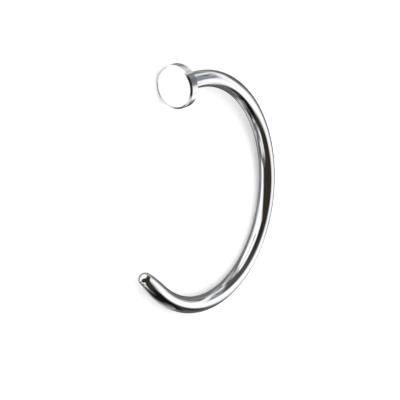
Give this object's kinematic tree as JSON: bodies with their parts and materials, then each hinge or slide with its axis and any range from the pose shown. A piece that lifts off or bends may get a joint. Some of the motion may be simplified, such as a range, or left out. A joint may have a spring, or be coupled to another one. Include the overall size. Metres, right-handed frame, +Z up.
{
  "type": "nose ring",
  "caption": "Open C-shaped nose hoop of round polished steel wire with a small flat disc soldered across its end and a rounded free tip, lying on its side.",
  "frame": {"origin": "bottom centre of the hoop's box, on the surface that it lies on", "axes": "+Z up from the surface it lies on, which is nearly the axis of the hoop; +X towards the closed back of the C, away from its mouth; +Y from the free tip towards the disc end"},
  "size_m": [0.0098, 0.0116, 0.0021],
  "materials": {
    "polished_steel": "mirror-polished surgical steel with very faint polishing marks"
  },
  "bodies": {
    "root": {"nose_hoop": "polished_steel"}
  },
  "joints": []
}
